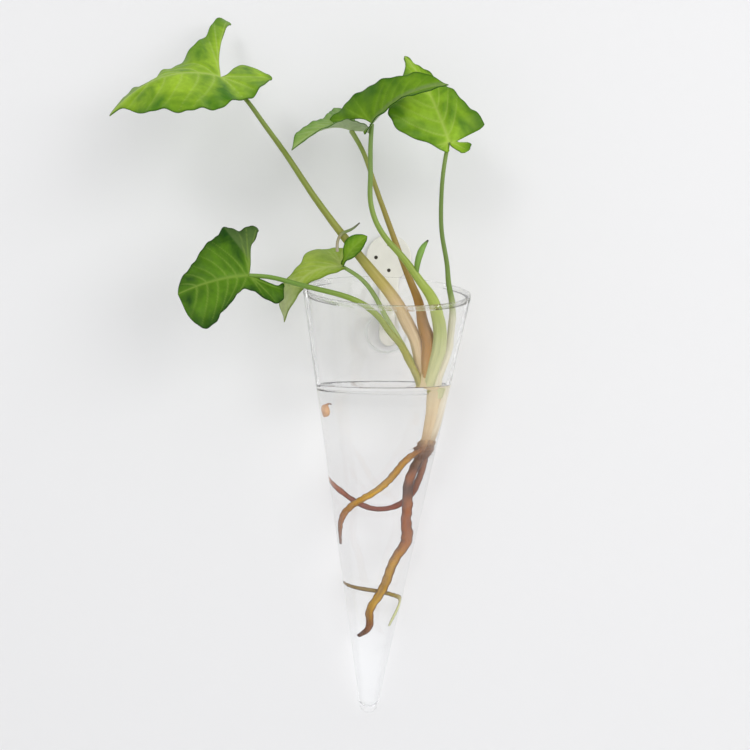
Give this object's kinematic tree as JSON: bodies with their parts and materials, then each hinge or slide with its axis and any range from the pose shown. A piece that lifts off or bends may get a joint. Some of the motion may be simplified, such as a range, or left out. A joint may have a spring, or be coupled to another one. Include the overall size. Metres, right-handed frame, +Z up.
{
  "type": "propagation vase",
  "caption": "Clear glass cone vase that hangs by a hole on a pinned wall hook, holding water and a rooting leafy cutting.",
  "frame": {"origin": "centre of the four wall pins, on the wall hook's flat back face", "axes": "+Z up, +Y into the wall (the wall is the plane Y = 0), +X to the right seen from the room"},
  "size_m": [0.1714, 0.0913, 0.3513],
  "materials": {
    "hook_plastic": "pale off-white moulded plastic, slightly translucent",
    "pin_steel": "small darkened steel pins",
    "clear_glass": "thin clear blown glass, fire-polished rim",
    "water": "clear tap water",
    "husk": "orange-brown bud scale",
    "pale_stem": "cream, waxy underwater stem",
    "root_brown": "dark brown root",
    "root_gold": "golden brown root",
    "root_olive": "thin olive root",
    "green_stalk": "smooth green leaf stalk",
    "brown_stalk": "olive-brown leaf stalk",
    "young_green": "soft young green tissue",
    "dry_scale": "dried brown tissue",
    "leaf_green": "satin green leaf with pale veins",
    "leaf_dark_green": "glossy dark green leaf"
  },
  "bodies": {
    "wall_hook": {"wall_hook": "hook_plastic", "wall_pins": "pin_steel"},
    "vase": {"glass_cone": "clear_glass", "water": "water", "husk": "husk"},
    "cutting": {"stem": "pale_stem", "side_stem": "pale_stem", "root_crown": "root_brown", "root_main": "root_brown", "root_gold": "root_gold", "root_brown": "root_brown", "root_cross": "root_olive", "petiole_top_left": "green_stalk", "petiole_middle_back": "brown_stalk", "petiole_middle_front": "green_stalk", "petiole_right": "green_stalk", "petiole_low_left": "green_stalk", "petiole_small": "green_stalk", "young_shoot": "young_green", "dried_tendril": "dry_scale", "leaf_top_left": "leaf_green", "leaf_middle_back": "leaf_green", "leaf_middle_front": "leaf_dark_green", "leaf_right": "leaf_green", "leaf_low_left": "leaf_dark_green", "leaf_small": "young_green", "leaf_small_lobe": "leaf_dark_green"}
  },
  "joints": [
    {"name": "vase_unhook", "type": "slide", "parent": "wall_hook", "child": "vase", "axis": [0, -0.8192, 0.5736], "range_m": [0, 0.06]},
    {"name": "cutting_lift", "type": "slide", "parent": "vase", "child": "cutting", "axis": [0.0419, -0.183, 0.9822], "range_m": [0, 0.2], "deforming": ["water"]}
  ]
}
